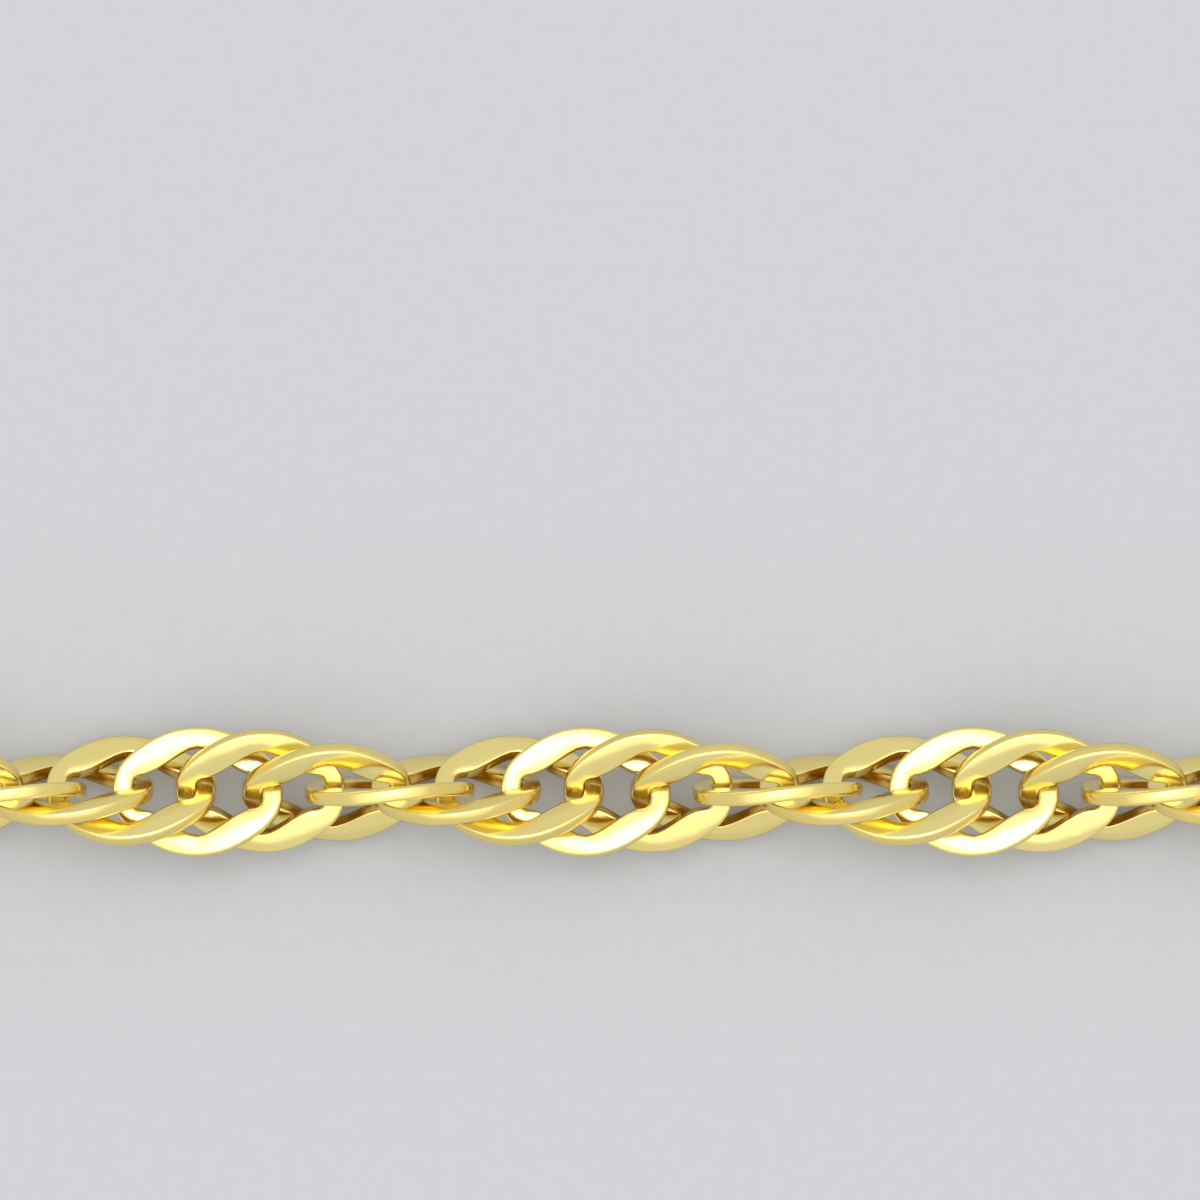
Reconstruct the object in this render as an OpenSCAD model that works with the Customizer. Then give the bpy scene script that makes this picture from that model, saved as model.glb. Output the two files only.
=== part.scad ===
// Singapore chain necklace laid out on a table as one closed loop.
// Flat oval links hook two by two, and each turns on from the last about the chain's own line.
// The front run lies along -Y, and the clasp is at the back, along +Y.

/* [Chain] */
// Width of the chain, which is the width of one link
chain_w = 2; // [1.6:0.1:2.6]
// Step from one link to the next along the chain
link_pitch = 1; // [0.85:0.05:1.5]
// Width of the flat band that a link is cut to
band_w = 0.3; // [0.2:0.01:0.38]
// Thickness of a link
band_t = 0.2; // [0.1:0.01:0.24]
// Play along the chain between two hooked link ends
link_play = 0.18; // [0.14:0.01:0.3]
// Links in half a turn of the twist
half_turn_links = 6; // [4:1:7]
// Turn of the middle link out of the flat
first_turn = -6; // [-15:1:15]

/* [Loop] */
// Links of the whole chain on each side of the middle one
side_links = 222; // [180:6:258]
// Links modelled one by one on each side of the middle one
front_links = 118; // [60:1:120]
// Length of the straight run at the front, and at the back
straight_run = 100; // [60:5:140]
// Gap between the last modelled link and the plain back stretch
back_gap = 0.2; // [0.1:0.05:0.5]

/* [Clasp] */
// Outer diameter of the spring ring clasp
clasp_d = 5.5; // [4.5:0.1:7]
// Diameter of the clasp's tube
clasp_tube_d = 1.1; // [0.8:0.1:1.3]
// Outer diameter of the clasp's eye
eye_d = 2.2; // [2:0.1:2.6]
// Diameter of the eye's wire
eye_wire_d = 0.5; // [0.4:0.05:0.5]
// Diameter of the clasp's lever
lever_d = 0.7; // [0.5:0.1:0.9]
// How far the lever stands out of the tube
lever_reach = 0.6; // [0.3:0.1:1]
// Outer diameter of the rings at the chain's two ends
ring_d = 3.4; // [3.2:0.1:4]
// Diameter of the wire of those rings
ring_wire_d = 0.5; // [0.4:0.05:0.6]
// Gap between pieces that rest in each other
seat_gap = 0.05; // [0.03:0.01:0.1]
// Gap between a ring and the end of the chain's back stretch
ring_gap = 0.1; // [0.1:0.05:0.5]

/* [Hidden] */
$fn = 48;

// One link: a flat stadium band, which holds two hooked ends and the play between them
link_in_r = chain_w / 2 - band_w;
link_in_half = link_pitch + link_play / 2;
link_straight = link_in_half - link_in_r;
twist_step = 180 / half_turn_links;

// Half of the height that a link takes up when it is turned about the chain's line
function turn_of(i) = first_turn + twist_step * i;
function half_height(turn) = chain_w / 2 * abs(sin(turn)) + band_t / 2 * abs(cos(turn));
lie_h = max([for (i = [0 : half_turn_links - 1]) half_height(turn_of(i))]);

// The clasp lies flat on the lower wire of the catch ring, and both rings stand upright
ring_mid_r = (ring_d - ring_wire_d) / 2;
clasp_mid_r = (clasp_d - clasp_tube_d) / 2;
eye_mid_r = (eye_d - eye_wire_d) / 2;
clasp_z = ring_wire_d + seat_gap + clasp_tube_d / 2;
ring_z = ring_d / 2;
eye_reach = clasp_d / 2 + eye_d / 2 - eye_wire_d / 2;
ring_side = sqrt(pow(ring_mid_r, 2) - pow(ring_z - clasp_z, 2));
end_reach = ring_d / 2 + ring_gap;
clasp_half = (clasp_mid_r + eye_reach + ring_side) / 2 + end_reach;
clasp_x = clasp_half - end_reach - clasp_mid_r;

// The loop: two straight runs joined by two half circles
loop_len = 2 * side_links * link_pitch + 2 * clasp_half;
bend_r = (loop_len - 2 * straight_run) / 360 * 180 / PI;
bend_len = bend_r * PI;
front_y = -bend_r - chain_w / 2;
back_y = bend_r + clasp_d / 2 + lever_reach;
loop_y = -(front_y + back_y) / 2;

// The plain back stretch that stands for the hidden links
tube_sides = 8;
tube_r = lie_h / cos(180 / tube_sides);
tube_step = 5;
tube_from = front_links * link_pitch + link_in_half + band_w + back_gap;
tube_to = side_links * link_pitch;
tube_rings = ceil((tube_to - tube_from) / tube_step);

// Place and heading at a distance s along the loop from the middle of the front run
function heading(s) = sign(s) * min(max(abs(s) - straight_run / 2, 0) / bend_len, 1) * 180;
function run_x(s) =
    let (a = abs(s), past = a - straight_run / 2 - bend_len)
    a < straight_run / 2 ? a : past > 0 ? straight_run / 2 - past
        : straight_run / 2 + bend_r * sin(abs(heading(s)));
function place(s) = [sign(s) * run_x(s), loop_y - bend_r * cos(heading(s)), lie_h];

// Stadium outline about the middle of a link, r from its two end centres
module stadium(r) {
    square([2 * link_straight, 2 * r], center = true);
    for (side = [-1, 1]) translate([side * link_straight, 0]) circle(r);
}

module link() {
    linear_extrude(band_t, center = true) difference() {
        stadium(chain_w / 2);
        stadium(link_in_r);
    }
}

module wire_ring(mid_r, wire_d) {
    rotate_extrude() translate([mid_r, 0]) circle(d = wire_d, $fn = 24);
}

module chain_front() {
    color("gold")
    for (i = [-front_links : front_links])
        translate(place(i * link_pitch))
        rotate([0, 0, heading(i * link_pitch)])
        rotate([turn_of(i), 0, 0])
        link();
}

// One side of the back stretch: a polyhedron swept along the loop, side is 1 or -1
module back_tube(side) {
    rings = [for (k = [0 : tube_rings])
        let (s = side * (tube_from + (tube_to - tube_from) * k / tube_rings),
             c = place(s), h = heading(s))
        [for (j = [0 : tube_sides - 1])
            let (a = 360 * (j + 0.5) / tube_sides)
            c + tube_r * [-sin(h) * cos(a), cos(h) * cos(a), sin(a)]]];
    last = tube_rings * tube_sides;
    walls = [for (k = [0 : tube_rings - 1], j = [0 : tube_sides - 1])
        let (n = (j + 1) % tube_sides, a = k * tube_sides, b = a + tube_sides)
        side > 0 ? [a + j, a + n, b + n, b + j] : [a + j, b + j, b + n, a + n]];
    near = [for (j = [0 : tube_sides - 1]) side > 0 ? tube_sides - 1 - j : j];
    far = [for (j = [0 : tube_sides - 1]) last + (side > 0 ? j : tube_sides - 1 - j)];
    polyhedron([for (ring = rings) each ring], concat(walls, [near, far]), convexity = 4);
}

module chain_back() {
    color("goldenrod") for (side = [-1, 1]) back_tube(side);
}

// Spring ring clasp: a round tube with an eye and a short lever, drawn as one closed piece
module clasp() {
    color("khaki")
    translate([clasp_x, loop_y + bend_r, clasp_z]) {
        wire_ring(clasp_mid_r, clasp_tube_d);
        translate([-eye_reach, 0, 0]) wire_ring(eye_mid_r, eye_wire_d);
        translate([0, clasp_mid_r, 0])
            rotate([-90, 0, 0]) cylinder(d = lever_d, h = clasp_tube_d / 2 + lever_reach);
    }
}

// A plain wire ring that stands on edge, its hole across the chain
module end_ring(x) {
    translate([x, loop_y + bend_r, ring_z]) rotate([90, 0, 0]) wire_ring(ring_mid_r, ring_wire_d);
}

module clasp_ring() {
    color("orange") end_ring(clasp_x - eye_reach - ring_side);
}

module catch_ring() {
    color("orange") end_ring(clasp_x + clasp_mid_r);
}

chain_front();
chain_back();
clasp();
clasp_ring();
catch_ring();
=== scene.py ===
import math

import bmesh
import bpy
from mathutils import Matrix, Vector


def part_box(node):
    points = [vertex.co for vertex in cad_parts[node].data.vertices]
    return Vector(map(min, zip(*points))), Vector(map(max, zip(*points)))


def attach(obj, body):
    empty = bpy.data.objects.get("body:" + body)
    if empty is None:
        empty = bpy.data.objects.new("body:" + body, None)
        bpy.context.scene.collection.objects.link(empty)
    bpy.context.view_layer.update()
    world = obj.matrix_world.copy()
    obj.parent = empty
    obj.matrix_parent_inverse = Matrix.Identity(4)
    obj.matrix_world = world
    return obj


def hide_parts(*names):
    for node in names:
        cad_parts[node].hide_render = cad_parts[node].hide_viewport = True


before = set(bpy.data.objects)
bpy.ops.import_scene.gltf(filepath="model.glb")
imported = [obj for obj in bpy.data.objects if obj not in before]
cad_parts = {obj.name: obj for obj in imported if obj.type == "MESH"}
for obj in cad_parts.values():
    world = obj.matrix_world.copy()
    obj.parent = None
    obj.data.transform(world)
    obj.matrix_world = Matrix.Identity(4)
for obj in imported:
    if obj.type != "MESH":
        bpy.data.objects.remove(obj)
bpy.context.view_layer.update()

# Camera, straight above the front run of the necklace. The chain crosses the frame below its middle
# at the photo's own scale, and a long lens far off keeps the view flat.
mm = 0.001
frame_px = 1200
px_per_mm = 64.7
chain_px_down = 792
middle_link_px_across = 585
camera_far = 200 * mm

# The chain is as deep as it is high, so its line lies half its height in from its front edge
front_low, front_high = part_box("chain_front")
line_z = (front_low.z + front_high.z) / 2
front_y = front_low.y + line_z
camera_place = (
    (frame_px / 2 - middle_link_px_across) / px_per_mm * mm,
    front_y + (chain_px_down - frame_px / 2) / px_per_mm * mm,
    line_z + camera_far)

bpy.ops.object.camera_add(location=camera_place, rotation=(0, 0, 0))
camera = bpy.context.object
camera.name = "camera"
camera.data.lens = camera.data.sensor_width * camera_far / (frame_px / px_per_mm * mm)
camera.data.clip_start = camera_far / 10
bpy.context.scene.camera = camera

# Floor, a sheet of pale matt card under the necklace, wide enough for every view.
# The pressed fibres of the card show as a very faint mottle.
floor_side = 8
card_light = (0.55, 0.56, 0.58, 1)
card_dark = (0.51, 0.52, 0.54, 1)
card_rough = 0.95
card_sheen = 0.15
fibres_per_m = 4000
fibre_detail = 5
fibre_gloss = 0.1


class Finish:
    """A material being mixed: add() brings in one node, and set() feeds the surface's sockets."""

    def __init__(self, name):
        self.material = bpy.data.materials.new(name)
        self.material.use_nodes = True
        self.tree = self.material.node_tree
        self.surface = self.tree.nodes["Principled BSDF"]

    def add(self, kind, settings=None, sockets=None, output=0):
        """Adds a node of a type with its settings, then the values or links of its sockets."""
        node = self.tree.nodes.new(kind)
        for name, value in (settings or {}).items():
            setattr(node, name, value)
        for name, value in (sockets or {}).items():
            self.feed(node.inputs[name], value)
        return Wire(self, node.outputs[output])

    def feed(self, socket, value):
        """Gives a socket its value, or links it to the output that a Wire stands for."""
        if isinstance(value, Wire):
            self.tree.links.new(value.socket, socket)
        else:
            socket.default_value = value

    def set(self, sockets):
        """Feeds the sockets of the surface by their names."""
        for name, value in sockets.items():
            self.feed(self.surface.inputs[name], value)

    def blend(self, mask, low, high):
        """A colour that goes from low to high as the mask goes from 0 to 1.

        A Mix node has sockets for each type: its colours go in at 6 and 7, and come out at 2."""
        return self.add("ShaderNodeMix", {"data_type": "RGBA"}, {0: mask, 6: low, 7: high}, output=2)


class Wire:
    """A node's output in plain arithmetic: each operator adds its Math node."""

    def __init__(self, finish, socket):
        self.finish = finish
        self.socket = socket

    def math(self, operation, left, right):
        """Adds a Math node for two values, either of which may be a plain number."""
        return self.finish.add("ShaderNodeMath", {"operation": operation}, {0: left, 1: right})

    def __add__(self, other):
        return self.math("ADD", self, other)

    def __sub__(self, other):
        return self.math("SUBTRACT", self, other)

    def __rsub__(self, other):
        return self.math("SUBTRACT", other, self)

    def __mul__(self, other):
        return self.math("MULTIPLY", self, other)

    __radd__ = __add__
    __rmul__ = __mul__


bpy.ops.object.select_all(action="DESELECT")
bpy.ops.mesh.primitive_plane_add(size=floor_side)
floor = bpy.context.object
floor.name = "floor"

card = Finish("pale_card")
card_place = card.add("ShaderNodeTexCoord", output="Object")
fibres = card.add("ShaderNodeTexNoise", {}, {
    "Vector": card_place,
    "Scale": fibres_per_m,
    "Detail": fibre_detail})
card.set({
    "Base Color": card.blend(fibres, card_dark, card_light),
    "Roughness": card_rough - fibre_gloss * fibres,
    "Specular IOR Level": card_sheen})
floor.data.materials.append(card.material)

# Studio light, a pale tent all round under a wide white ceiling, with one brighter soft box overhead.
# The box stands a little behind the chain, so that the link that lies flattest throws it straight
# back and shows almost white, while the others take the ceiling or the duller walls.
wall_colour = (1, 1, 1, 1)
wall_white = 0.74
ceiling_side = 4
ceiling_height = 2
ceiling_watts = 25
box_side = 620 * mm
box_height = 1000 * mm
box_lean = math.radians(8)
box_watts = 2.4

world = bpy.data.worlds.new("pale_tent")
bpy.context.scene.world = world
world.use_nodes = True
tent = world.node_tree.nodes["Background"]
tent.inputs["Color"].default_value = wall_colour
tent.inputs["Strength"].default_value = wall_white


def hang_light(name, side, watts, place, lean):
    """Hangs a square soft light that shines down, leaning towards the chain, and isn't seen itself."""
    bpy.ops.object.light_add(type="AREA", location=place, rotation=(-lean, 0, 0))
    light = bpy.context.object
    light.name = name
    light.data.size = side
    light.data.energy = watts
    light.visible_camera = False


ceiling_place = (0, 0, ceiling_height)
box_place = (0, front_y + box_height * math.tan(box_lean), box_height)
hang_light("ceiling", ceiling_side, ceiling_watts, ceiling_place, lean=0)
hang_light("soft_box", box_side, box_watts, box_place, box_lean)
bpy.context.scene.view_settings.view_transform = "Standard"

# Links in the close view. Each is a loop of yellow gold wire, pressed to a flat band with straight
# shoulders and a slight twist, hooked through two links before it and two after it, and then cut
# bright on both faces with a diamond tool. Its rims keep the softer look of the drawn wire.
link_size = (2.66 * mm, 2.025 * mm)
hole_size = (2.06 * mm, 1.44 * mm)
link_points = 24
band_t = 0.22 * mm
rim_round = 0.045 * mm
link_twist = math.radians(20)

# How many links the close view takes in on each side of the middle one
near_links = 12

# What is left of a plain oval's width at five places from the middle of a link to its end,
# and how near to a place a point has to be to count as there
outline = (
    # place, rim, hole
    (0.26, 1.00, 0.84),
    (0.50, 0.965, 0.66),
    (0.71, 0.935, 0.55),
    (0.87, 0.985, 0.76),
    (0.97, 1.09, 1.30))
place_reach = 0.02

# The tips of the hole, the points past this share of its length from its middle, are drawn in
# to what is left here, so that two hooked links lie close
hole_tip = 0.49
hole_end = 0.98

# Painted shade on the hole's wall: a brown laid into the colour where the links close over it, darkest
# halfway along. A face belongs to the wall when its normal rises less than wall_rise.
painted_shade_wall = (
    # how far from the middle, how much painted shade
    (0.90 * mm, 0.30),
    (0.75 * mm, 0.60),
    (0.50 * mm, 1.00))
wall_rise = 0.5

# The gold's tone drifts, its polish waves and fine scratches cross it, this often in a metre
drifts_per_m = 700
waves_per_m = 1600
scratches_per_m = 16000
wave_deep = 0.015 * mm
scratch_rough = 0.08


def pick(test):
    """Selects the shown vertices whose place passes the test, in edit mode."""
    form = bmesh.from_edit_mesh(bpy.context.object.data)
    for vert in form.verts:
        vert.select = not vert.hide and test(vert.co)
    form.select_flush(True)
    form.select_flush(False)
    bmesh.update_edit_mesh(bpy.context.object.data)


def pick_faces(test):
    """Selects the faces whose middle and normal pass the test, in edit mode."""
    bpy.ops.mesh.select_all(action="DESELECT")
    bpy.context.tool_settings.mesh_select_mode = (False, False, True)
    form = bmesh.from_edit_mesh(bpy.context.object.data)
    for face in form.faces:
        face.select = test(face.calc_center_median(), face.normal)
    form.select_flush_mode()
    bmesh.update_edit_mesh(bpy.context.object.data)


def modify(kind, **settings):
    """Adds a modifier to the piece in hand and applies it."""
    bpy.ops.object.modifier_add(type=kind)
    step = bpy.context.object.modifiers[-1]
    for name, value in settings.items():
        setattr(step, name, value)
    bpy.ops.object.modifier_apply(modifier=step.name)


def shape_loop(size, narrows, first_point):
    """Turns the selected circle to its first point and makes it an oval, then narrows it in places."""
    length, width = size
    bpy.ops.transform.rotate(value=first_point, orient_axis="Z", center_override=(0, 0, 0))
    bpy.ops.transform.resize(value=(length / 2, width / 2, 1))
    for place, left in narrows:
        pick(lambda co: abs(abs(co.x) * 2 / length - place) < place_reach)
        bpy.ops.transform.resize(value=(1, left, 1))


def press_link(name, points, first_point, outer, inner):
    """Makes one flat link at the origin, the band between an outer and an inner size."""
    bpy.ops.object.select_all(action="DESELECT")
    bpy.ops.mesh.primitive_circle_add(vertices=points, radius=1)
    bpy.context.object.name = name
    bpy.ops.object.mode_set(mode="EDIT")
    shape_loop(outer, [(place, rim) for place, rim, hole in outline], first_point)
    bpy.ops.mesh.select_all(action="SELECT")
    bpy.ops.mesh.hide()
    bpy.ops.mesh.primitive_circle_add(vertices=points, radius=1)
    shape_loop(inner, [(place, hole) for place, rim, hole in outline], first_point)
    pick(lambda co: abs(co.x) > hole_tip * inner[0])
    bpy.ops.transform.resize(value=(hole_end, 1, 1))
    bpy.ops.mesh.reveal()
    bpy.ops.mesh.select_all(action="SELECT")
    bpy.ops.mesh.bridge_edge_loops()
    bpy.ops.mesh.normals_make_consistent()
    bpy.ops.object.mode_set(mode="OBJECT")
    return bpy.context.object


class Gold(Finish):
    """Polished yellow gold: its tone drifts, fine marks roughen it, and the polish waves a little."""

    def __init__(self, name, pale, deep, gloss, marks):
        super().__init__(name)
        place = self.add("ShaderNodeTexCoord", output="Object")
        drift = self.speckle(place, drifts_per_m, detail=2)
        scratch = self.speckle(place, scratches_per_m, detail=4)
        wave = self.speckle(place, waves_per_m, detail=1)
        bump = self.add("ShaderNodeBump", {}, {
            "Height": wave - marks * scratch,
            "Strength": 1.0,
            "Distance": wave_deep})
        self.tone = self.blend(drift, deep, pale)
        self.set({
            "Base Color": self.tone,
            "Metallic": 1.0,
            "Roughness": gloss + scratch_rough * scratch,
            "Normal": bump})

    def speckle(self, place, per_m, detail):
        """A soft noise over the metal that repeats about this often in a metre."""
        return self.add("ShaderNodeTexNoise", {}, {"Vector": place, "Scale": per_m, "Detail": detail})


cut_gold = Gold(
    "cut_gold",
    pale=(0.99, 0.86, 0.36, 1),
    deep=(0.96, 0.78, 0.26, 1),
    gloss=0.16,
    marks=0.05)
drawn_gold = Gold(
    "drawn_gold",
    pale=(0.97, 0.81, 0.31, 1),
    deep=(0.90, 0.69, 0.20, 1),
    gloss=0.22,
    marks=0.10)
# Painted shade: the hole's wall goes towards a deep brown, standing in for the shadow and the
# gold-on-gold reflections deep between hooked links.
painted_shade_brown = (0.44, 0.23, 0.03, 1)
painted_shade = drawn_gold.add("ShaderNodeAttribute", {"attribute_name": "painted_shade"}, output="Fac")
drawn_gold.set({"Base Color": drawn_gold.blend(painted_shade, drawn_gold.tone, painted_shade_brown)})


def press_band(link, thickness):
    """Gives the flat link its thickness, its cut faces and drawn walls, and paints shade on the hole's
    wall.
    """
    link.data.materials.append(cut_gold.material)
    link.data.materials.append(drawn_gold.material)
    modify("SOLIDIFY", thickness=thickness, offset=0, material_offset_rim=1)
    bpy.ops.geometry.attribute_add(name="painted_shade", domain="POINT", data_type="FLOAT")
    bpy.ops.object.mode_set(mode="EDIT")
    # Marks the painted shade on the hole's wall, more of it nearer the middle
    for reach, amount in painted_shade_wall:
        pick_faces(lambda middle, normal: (
            abs(middle.x) < reach and abs(normal.z) < wall_rise and normal.y * middle.y < 0))
        bpy.ops.mesh.attribute_set(value_float=amount)
    bpy.ops.object.mode_set(mode="OBJECT")


near_link = press_link("near_link", link_points, 0, link_size, hole_size)
modify("SUBSURF", levels=1, render_levels=1)
press_band(near_link, band_t)
modify("BEVEL", width=rim_round, segments=2, limit_method="ANGLE")
modify("SIMPLE_DEFORM", deform_method="TWIST", deform_axis="X", angle=-link_twist)
bpy.ops.object.shade_smooth()
modify("WEIGHTED_NORMAL")

# Where each link sits on the loop: two straight runs and a half circle at each side
straight_run = 100 * mm
back_low, back_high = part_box("clasp_ring")
back_y = (back_low.y + back_high.y) / 2
bend_r = (back_y - front_y) / 2
bend_run = bend_r * math.pi
link_step = 0.99935 * mm

# How far a link is turned on from the one before it, and how far the middle link is, in degrees
turn_step = 30
first_turn = -6

# How each of the six links in a half turn has settled off its even place
settled = (
    # turn in degrees, along, sideways
    (0, 0.01 * mm, 0.00 * mm),
    (-2, -0.02 * mm, 0.02 * mm),
    (-8, 0.01 * mm, 0.00 * mm),
    (9, -0.02 * mm, 0.01 * mm),
    (2, 0.01 * mm, 0.03 * mm),
    (-2, -0.02 * mm, 0.02 * mm))


def seat(number):
    """The place and turn of a link, counted from the middle of the front run."""
    settled_turn, settled_along, settled_side = settled[number % len(settled)]
    along = number * link_step + settled_along
    past = max(abs(along) - straight_run / 2, 0)
    heading = math.copysign(min(past / bend_run, 1) * math.pi, along)
    across = (
        min(abs(along), straight_run / 2)
        + bend_r * math.sin(abs(heading))
        - max(past - bend_run, 0))
    side = (front_y + back_y) / 2 - bend_r * math.cos(heading)
    middle = Vector((math.copysign(across, along), side, line_z))
    turn = math.radians(first_turn + number * turn_step + settled_turn)
    return (
        Matrix.Translation(middle) @ Matrix.Rotation(heading, 4, "Z")
        @ Matrix.Translation((0, settled_side, 0)) @ Matrix.Rotation(turn, 4, "X"))


def hook_up(name, link, numbers):
    """Copies the link to each of its numbered seats and joins the copies as one piece."""
    bpy.ops.object.select_all(action="DESELECT")
    for number in numbers:
        copy = link.copy()
        copy.data = link.data.copy()
        bpy.context.collection.objects.link(copy)
        copy.matrix_world = seat(number)
        copy.select_set(True)
        bpy.context.view_layer.objects.active = copy
    bpy.ops.object.join()
    bpy.ops.object.transform_apply(location=True, rotation=True, scale=True)
    bpy.context.object.name = name
    return bpy.context.object


close_links = hook_up("close_links", near_link, range(-near_links, near_links + 1))
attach(close_links, "root")
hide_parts("chain_front")
bpy.data.objects.remove(near_link)

# Links of the front run outside the close view, up to a little past halfway round each bend. They
# are the same flat gold links, hooked on in the same way, and each is made with fewer faces
# because there are hundreds of them.
front_links = 118
far_link_size = (2.74 * mm, 2.04 * mm)
far_hole_size = (2.20 * mm, 1.56 * mm)
far_link_points = 12
far_first_point = math.radians(15)
far_band_t = 0.19 * mm

far_link = press_link("far_link", far_link_points, far_first_point, far_link_size, far_hole_size)
press_band(far_link, far_band_t)
modify("SIMPLE_DEFORM", deform_method="TWIST", deform_axis="X", angle=-link_twist)

left_numbers = list(range(-front_links, -near_links))
right_numbers = list(range(near_links + 1, front_links + 1))
front_run = hook_up("front_run", far_link, left_numbers + right_numbers)
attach(front_run, "root")
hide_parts("chain_front")

# Links of the back run, the same flat gold links from there up to the end rings. The last link at
# each end lies almost flat, so that the upright end ring stands in its hole.
side_links = 222

left_numbers = list(range(-side_links, -front_links))
right_numbers = list(range(front_links + 1, side_links + 1))
back_run = hook_up("back_run", far_link, left_numbers + right_numbers)
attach(back_run, "root")
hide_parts("chain_back")
bpy.data.objects.remove(far_link)

# Spring ring clasp, a round tube of polished gold bent to a ring with a gap for its mouth. A thinner
# bolt slides out of the tube over the gap, drawn back by a small lever that runs in a slot, and a
# wire eye is soldered on by a collar on the left.
clasp_low, clasp_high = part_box("clasp")
whole_turn = 2 * math.pi
tube_r = 0.55 * mm
tube_bend_r = 2.2 * mm
tube_edge = 0.02 * mm
mouth_from = math.radians(24)
mouth_to = math.radians(64)
bolt_r = 0.41 * mm
bore_wall = 0.09 * mm
bore_deep = 0.5 * mm
bolt_in = math.radians(9)
slot_from = math.radians(82)
slot_to = math.radians(136)
slot_half = 0.28 * mm
slot_edge = 0.03 * mm
slot_deep = 0.12 * mm
eye_wire_r = 0.25 * mm
eye_bend_r = 0.85 * mm
post_points = 24
clasp_middle = Vector((
    clasp_high.x - tube_bend_r - tube_r,
    clasp_low.y + tube_bend_r + tube_r,
    (clasp_low.z + clasp_high.z) / 2))

# Points nearer than this are one, and edges bent by more than this stay crisp
same_point = 0.001 * mm
crisp_from = math.radians(40)

# A face is an end of the tube when it looks this squarely out and lies this near the end's angle
square_on = 0.95
end_reach = 0.01


def bend_wire(name, middle, bend, wire_r, start, sweep, steps, points):
    """Bends a round wire about an upright line, and caps its ends if it isn't a whole ring."""
    across = Vector((math.cos(start), math.sin(start), 0))
    ends = "NOTHING" if sweep == whole_turn else "NGON"
    bpy.ops.object.select_all(action="DESELECT")
    bpy.ops.mesh.primitive_circle_add(
        vertices=points,
        radius=wire_r,
        fill_type=ends,
        location=middle + across * bend,
        rotation=(math.pi / 2, 0, start))
    bpy.context.object.name = name
    bpy.ops.object.transform_apply(location=True, rotation=True, scale=True)
    bpy.ops.object.mode_set(mode="EDIT")
    bpy.ops.mesh.select_all(action="SELECT")
    bpy.ops.mesh.spin(steps=steps, angle=-sweep, center=middle, axis=(0, 0, 1))
    bpy.ops.mesh.select_all(action="SELECT")
    bpy.ops.mesh.remove_doubles(threshold=same_point)
    bpy.ops.mesh.normals_make_consistent()
    bpy.ops.object.mode_set(mode="OBJECT")
    return bpy.context.object


def arc_angle(place, middle):
    """How far round from +X a place lies about the middle, from 0 to a full turn."""
    return math.atan2(place.y - middle.y, place.x - middle.x) % whole_turn


tube_sweep = whole_turn - mouth_to + mouth_from
tube = bend_wire(
    "tube", clasp_middle, tube_bend_r, tube_r, mouth_to, tube_sweep, steps=64, points=24)
bpy.ops.object.mode_set(mode="EDIT")
for end, way in ((mouth_to, 1), (mouth_from, -1)):
    into = Vector((-math.sin(end), math.cos(end), 0)) * way
    pick_faces(lambda middle, normal: (
        normal.dot(into) < -square_on
        and abs(arc_angle(middle, clasp_middle) - end) < end_reach))
    bpy.ops.mesh.inset(thickness=bore_wall)
    bpy.ops.mesh.extrude_region_move(TRANSFORM_OT_translate={"value": into * bore_deep})
pick_faces(lambda middle, normal: (
    slot_from < arc_angle(middle, clasp_middle) < slot_to
    and abs(middle.z - clasp_middle.z) < slot_half
    and (middle - clasp_middle).length > tube_bend_r))
bpy.ops.mesh.inset(thickness=slot_edge)
bpy.ops.mesh.extrude_region_shrink_fatten(TRANSFORM_OT_shrink_fatten={"value": -slot_deep})
bpy.ops.object.mode_set(mode="OBJECT")
modify("BEVEL", width=tube_edge, segments=2, limit_method="ANGLE")

bolt_from = mouth_from - bolt_in
bolt_sweep = mouth_to - mouth_from + 2 * bolt_in
bolt = bend_wire(
    "bolt", clasp_middle, tube_bend_r, bolt_r, bolt_from, bolt_sweep, steps=16, points=24)

eye_middle = clasp_middle - Vector((tube_bend_r + tube_r + eye_bend_r, 0, 0))
eye = bend_wire("eye", eye_middle, eye_bend_r, eye_wire_r, 0, whole_turn, steps=48, points=16)


def turn_post(name, foot, way, profile):
    """Turns a round post on a lathe: from its foot, a row of how far along it is and how thick there."""
    bpy.ops.object.select_all(action="DESELECT")
    bpy.ops.mesh.primitive_circle_add(
        vertices=post_points,
        radius=profile[0][1],
        fill_type="NGON",
        location=foot + way * profile[0][0],
        rotation=way.to_track_quat("Z", "Y").to_euler())
    bpy.context.object.name = name
    bpy.ops.object.transform_apply(location=True, rotation=True, scale=True)
    bpy.ops.object.mode_set(mode="EDIT")
    bpy.ops.mesh.select_all(action="SELECT")
    for (near, thick), (far, next_thick) in zip(profile, profile[1:]):
        bpy.ops.mesh.extrude_region_move(TRANSFORM_OT_translate={"value": way * (far - near)})
        bpy.ops.transform.resize(value=[next_thick / thick] * 3, center_override=foot + way * far)
    bpy.ops.mesh.select_all(action="SELECT")
    bpy.ops.mesh.normals_make_consistent()
    bpy.ops.object.mode_set(mode="OBJECT")
    return bpy.context.object


collar = turn_post("collar", clasp_middle, Vector((-1, 0, 0)), (
    # along, radius
    (2.50 * mm, 0.40 * mm),
    (2.78 * mm, 0.40 * mm),
    (2.86 * mm, 0.36 * mm),
    (2.94 * mm, 0.30 * mm)))

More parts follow.
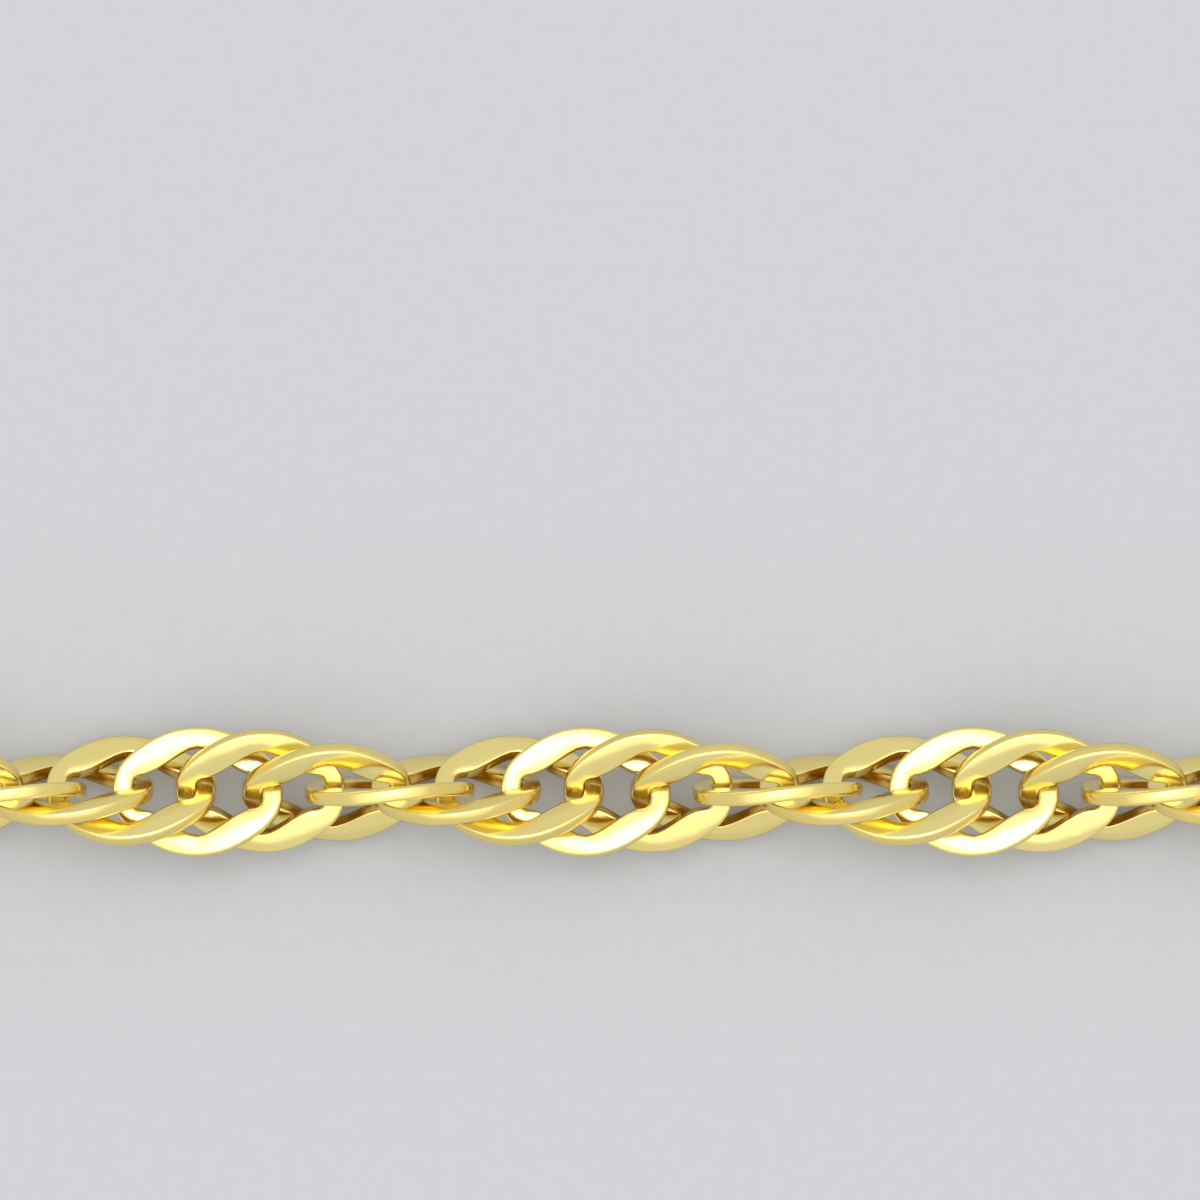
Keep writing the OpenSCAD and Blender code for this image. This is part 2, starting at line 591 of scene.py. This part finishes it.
lever = turn_post("lever", clasp_middle, Vector((0, 1, 0)), (
    # along, radius
    (2.30 * mm, 0.20 * mm),
    (2.78 * mm, 0.20 * mm),
    (2.84 * mm, 0.31 * mm),
    (2.90 * mm, 0.35 * mm),
    (3.20 * mm, 0.35 * mm),
    (3.29 * mm, 0.31 * mm),
    (3.35 * mm, 0.21 * mm)))

for part in (tube, bolt, eye, collar, lever):
    part.select_set(True)
bpy.context.view_layer.objects.active = tube
bpy.ops.object.join()
spring_ring = bpy.context.object
spring_ring.name = "spring_ring"
bpy.ops.object.shade_smooth_by_angle(angle=crisp_from)

tube_gold = Gold(
    "tube_gold",
    pale=(0.96, 0.82, 0.33, 1),
    deep=(0.95, 0.77, 0.27, 1),
    gloss=0.12,
    marks=0.10)
spring_ring.data.materials.append(tube_gold.material)
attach(spring_ring, "root")
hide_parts("clasp")

# Ring on the clasp's eye, a turn of round gold wire closed with a butt joint. It stands upright
# through the eye, and the last link on the left hangs on it.
ring_wire_r = 0.25 * mm
ring_bend_r = 1.45 * mm
seam_half = math.radians(0.7)
seam_edge = 0.02 * mm

wire_gold = Gold(
    "wire_gold",
    pale=(0.96, 0.81, 0.32, 1),
    deep=(0.94, 0.76, 0.26, 1),
    gloss=0.14,
    marks=0.12)


def close_ring(name, node):
    """Bends one upright ring with its seam on top, in the middle of the node it stands for."""
    low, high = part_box(node)
    ring_from = math.pi / 2 + seam_half
    ring_sweep = whole_turn - 2 * seam_half
    ring = bend_wire(
        name, Vector((0, 0, 0)), ring_bend_r, ring_wire_r, ring_from, ring_sweep,
        steps=72, points=20)
    modify("BEVEL", width=seam_edge, segments=1, limit_method="ANGLE")
    ring.rotation_euler = (math.pi / 2, 0, 0)
    ring.location = (low + high) / 2
    bpy.ops.object.transform_apply(location=True, rotation=True, scale=True)
    bpy.ops.object.shade_smooth_by_angle(angle=crisp_from)
    ring.data.materials.append(wire_gold.material)
    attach(ring, "root")
    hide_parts(node)


close_ring("left_ring", "clasp_ring")

# Ring that the clasp catches, the same turn of round wire at the chain's right end. The clasp's
# tube passes through it, and the last link on the right hangs on it.
close_ring("right_ring", "catch_ring")
